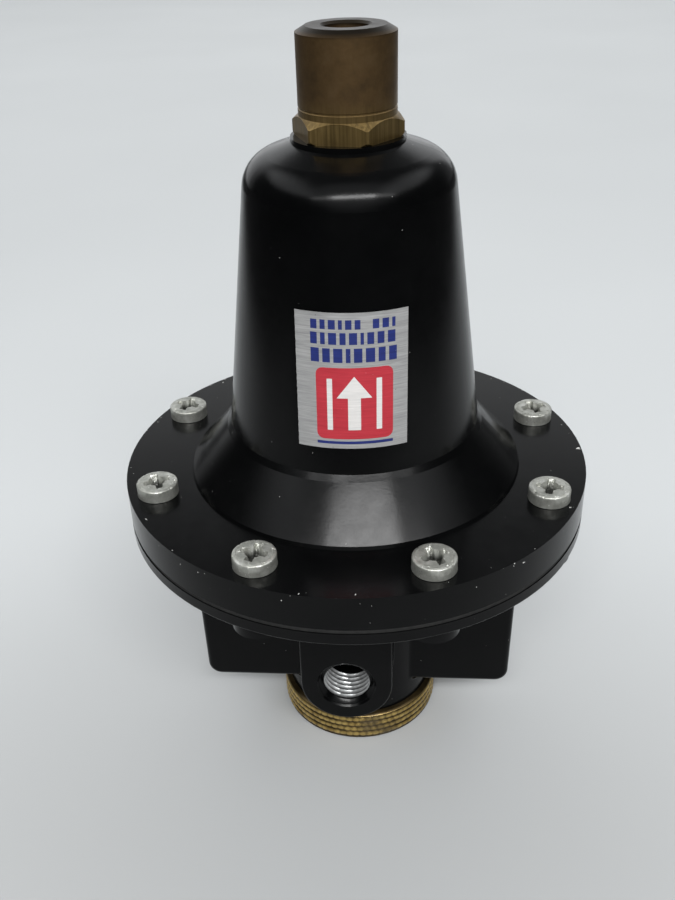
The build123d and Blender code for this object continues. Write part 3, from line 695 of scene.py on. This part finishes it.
def foil_label():
    left, right = label_low.x, label_high.x
    low, high = label_low.z, label_high.z
    edge = [(left, low), (right, low), (right, high), (left, high)]
    ragged = []
    for k in range(1, 40):
        z = high - (high - low) * k / 40
        nick = 0.16 * max(0.0, noise.noise(Vector((0.0, 3.0, z * 1.1)))) + 0.03 * (k % 2)
        ragged.append((left + nick, z))
    base = wrapped("label_foil", [edge + ragged], -0.12, 0.12)
    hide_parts("label")
    finish_piece(base, "housing", "foil")

    rows = dash_row(left + 3.2, right - 2.5, high - 3.3, high - 1.4,
                    [1, 0.8, 1.1, 0.6, 1, 0.9, -0.9, 1, 1, 0.5], 0.5)
    rows += dash_row(left + 3.1, right - 2.5, high - 6.4, high - 4.0,
                     [1, 0.7, 1.2, 0.9, 1.2, 0.5, 1, 1, 1.1], 0.5)
    rows += dash_row(left + 3.1, right - 2.2, high - 10.1, high - 7.2,
                     [1.1, 1, 1.2, 0.6, 1.1, 1.2, 0.9, 1], 0.45)
    panel_low, panel_high = low + 2.1, high - 11.2
    panel_left, panel_right = left + 4.0, right - 2.9
    middle = (panel_left + panel_right) / 2
    rows.append(block(panel_left, panel_low - 1.1, panel_right, panel_low - 0.5))
    ink_lift, ink_thick = 0.004, 0.012
    blue = wrapped("label_blue_print", rows, ink_lift, ink_thick)
    finish_piece(blue, "housing", "ink_blue")

    corner = 1.4
    panel = []
    inner = (panel_left + corner, panel_right - corner, panel_low + corner, panel_high - corner)
    centres = ((inner[1], inner[3]), (inner[0], inner[3]), (inner[0], inner[2]), (inner[1], inner[2]))
    for start, (cx, cz) in zip((0, 90, 180, 270), centres):
        for k in range(5):
            a = radians(start + 22.5 * k)
            panel.append((cx + corner * cos(a), cz + corner * sin(a)))
    red = wrapped("label_red_panel", [panel], ink_lift, ink_thick)
    finish_piece(red, "housing", "ink_red")

    shaft, head, base_z, tip = 1.3, 3.6, panel_low + 2.0, panel_high - 1.8
    neck = tip - 4.6
    arrow = [(middle - shaft, base_z), (middle + shaft, base_z), (middle + shaft, neck),
             (middle + head, neck), (middle, tip), (middle - head, neck), (middle - shaft, neck)]
    bars = [block(x - 0.55, base_z, x + 0.55, tip - 0.5) for x in (middle - 5.0, middle + 5.0)]
    white = wrapped("label_white_print", [arrow] + bars, ink_lift + 0.014, ink_thick)
    finish_piece(white, "housing", "ink_white")


def range_spring():
    low, high = box_mm("range_spring")
    outer, wire = high.x, 1.7
    piece = coil("coiled_range_spring", outer - wire, wire, low.z, high.z, 7.0)
    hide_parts("range_spring")
    finish_piece(piece, "diaphragm", "spring_steel")
    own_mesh(piece)


def valve_spring():
    low, high = box_mm("valve_spring")
    wire = 0.5
    piece = coil("coiled_valve_spring", high.x - wire, wire, low.z, high.z, 6.0)
    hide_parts("valve_spring")
    finish_piece(piece, "housing", "spring_steel")
    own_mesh(piece)


def diaphragm_roll():
    """The rolling ring of the diaphragm, between the clamped rim and the plates."""
    rim_low, rim_high = box_mm("diaphragm_rim")
    middle_low, middle_high = box_mm("diaphragm_middle")
    flex_high = box_mm("diaphragm_flex")[1]
    inner, outer = middle_high.x + 0.02, flex_high.x
    half = (middle_high.z - middle_low.z) / 2 - 0.02
    rim_z = (rim_low.z + rim_high.z) / 2
    middle_z = (middle_low.z + middle_high.z) / 2
    line = []
    for t in span(0.0, 1.0, 25):
        rise = sin(pi * t) * (flex_high.z - half - max(rim_z, middle_z) - 0.02) * 0.5
        z = middle_z + (rim_z - middle_z) * smooth_step(0.1, 0.9, t) + rise * 0.3
        line.append((inner + (outer - inner) * t, z))
    upper = [(r, z + half) for r, z in line]
    lower = [(r, z - half) for r, z in reversed(line)]
    piece = turned("rolling_diaphragm", upper + lower, 120, loop=True)
    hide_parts("diaphragm_flex")
    dress(piece, "rubber")
    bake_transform(piece)


bottom_plug()
for screw_index in range(8):
    flange_screw(screw_index)
ports = {"gauge_port_front": (GAUGE_CREST, GAUGE_PITCH), "gauge_port_back": (GAUGE_CREST, GAUGE_PITCH),
         "inlet_port": (PORT_CREST, PORT_PITCH), "outlet_port": (PORT_CREST, PORT_PITCH)}
for port_name, (port_crest, _) in ports.items():
    port_mouth(port_name.replace("port", "mouth"), port_name, port_crest)
for port_name, (port_crest, port_pitch) in ports.items():
    thread_sleeve(port_name.replace("port", "thread"), port_name, port_crest, port_pitch)
bushing_thread()
foil_label()
range_spring()
valve_spring()
diaphragm_roll()


# ---- floor, light and camera ---------------------------------------------------------------------
def floor():
    half, cells = 4.0, 16
    bm = bmesh.new()
    bmesh.ops.create_grid(bm, x_segments=cells, y_segments=cells, size=half)
    piece = finish_mesh(bm, "floor")
    look = material("floor_look", floor_nodes, Roughness=0.9, Specular_IOR_Level=0.1)
    piece.data.materials.append(look)


def world_light():
    """The camera sees an even pale surround. Reflections and light come from a shaped room."""
    world = bpy.data.worlds.new("studio")
    bpy.context.scene.world = world
    world.use_nodes = True
    tree = world.node_tree
    tree.nodes.clear()
    direction = node(tree, "TexCoord").outputs["Generated"]
    x, y, z = xyz(tree, direction)
    # the bright wall behind, higher up dimmer, and dark to the right
    behind = map_range(tree, y, 0.45, 0.85, smooth=True)
    low = map_range(tree, z, 0.60, 0.44, smooth=True)
    right = map_range(tree, x, 0.36, 0.50, 1.0, 0.15, smooth=True)
    wall = maths(tree, "MULTIPLY", maths(tree, "ADD", maths(tree, "MULTIPLY", low, 0.95), 0.18), right)
    above = map_range(tree, z, 0.55, 0.95, smooth=True)
    amount = maths(tree, "ADD", maths(tree, "MULTIPLY", behind, wall), maths(tree, "MULTIPLY", above, 0.10))
    amount = maths(tree, "ADD", amount, 0.03)
    # a glow high on each side
    aside = map_range(tree, maths(tree, "ABSOLUTE", x), 0.36, 0.66, smooth=True)
    raised = map_range(tree, z, 0.46, 0.66, smooth=True)
    sides = maths(tree, "MULTIPLY", maths(tree, "MULTIPLY", aside, raised), 2.0)
    amount = maths(tree, "ADD", amount, sides)
    # and one above the camera
    aim = (0.10, -0.70, 0.707)
    toward = node(tree, "VectorMath", {0: direction, 1: aim}, operation="DOT_PRODUCT").outputs["Value"]
    amount = maths(tree, "ADD", amount, map_range(tree, toward, 0.66, 0.93, high=0.85, smooth=True))
    surround = node(tree, "Background", {"Color": (0.96, 0.98, 1.0, 1.0), "Strength": amount})
    plain = node(tree, "Background", {"Color": (0.66, 0.68, 0.69, 1.0), "Strength": 1.0})
    seen = node(tree, "LightPath").outputs["Is Camera Ray"]
    both = node(tree, "MixShader", {0: seen, 1: surround.outputs[0], 2: plain.outputs[0]})
    node(tree, "OutputWorld", {"Surface": both.outputs[0]})


def soft_box(name, position, target, size, power, in_gloss=True):
    light = bpy.data.lights.new(name, "AREA")
    light.shape = "RECTANGLE"
    light.size, light.size_y = size
    light.energy = power
    holder = bpy.data.objects.new(name, light)
    bpy.context.scene.collection.objects.link(holder)
    holder.location = position
    holder.rotation_euler = (Vector(target) - Vector(position)).to_track_quat("-Z", "Y").to_euler()
    holder.visible_glossy = in_gloss


def camera():
    data = bpy.data.cameras.new("camera")
    data.sensor_width = 36.0
    data.lens = 39.45
    data.clip_start = 0.01
    holder = bpy.data.objects.new("camera", data)
    bpy.context.scene.collection.objects.link(holder)
    down, heading, roll = 31.18, 4.73, -1.84      # degrees, fitted to the photograph with the place
    turn = Matrix.Rotation(radians(heading), 4, "Z") @ Matrix.Rotation(radians(90 - down), 4, "X")
    turn = turn @ Matrix.Rotation(radians(roll), 4, "Z")
    holder.matrix_world = Matrix.Translation((0.01247, -0.20146, 0.19850)) @ turn
    bpy.context.scene.camera = holder


floor()
world_light()
soft_box("key", (0.10, -0.66, 0.74), (0, 0, 0.08), (0.66, 0.13), 6.6)
soft_box("key_wide", (0.10, -0.68, 0.76), (0, 0, 0.08), (1.5, 0.13), 3.0)
soft_box("fill", (0.0, 1.3, 1.5), (0, 0.6, 0.0), (2.4, 1.2), 19.0, in_gloss=False)
camera()
bpy.context.scene.view_settings.view_transform = "Standard"
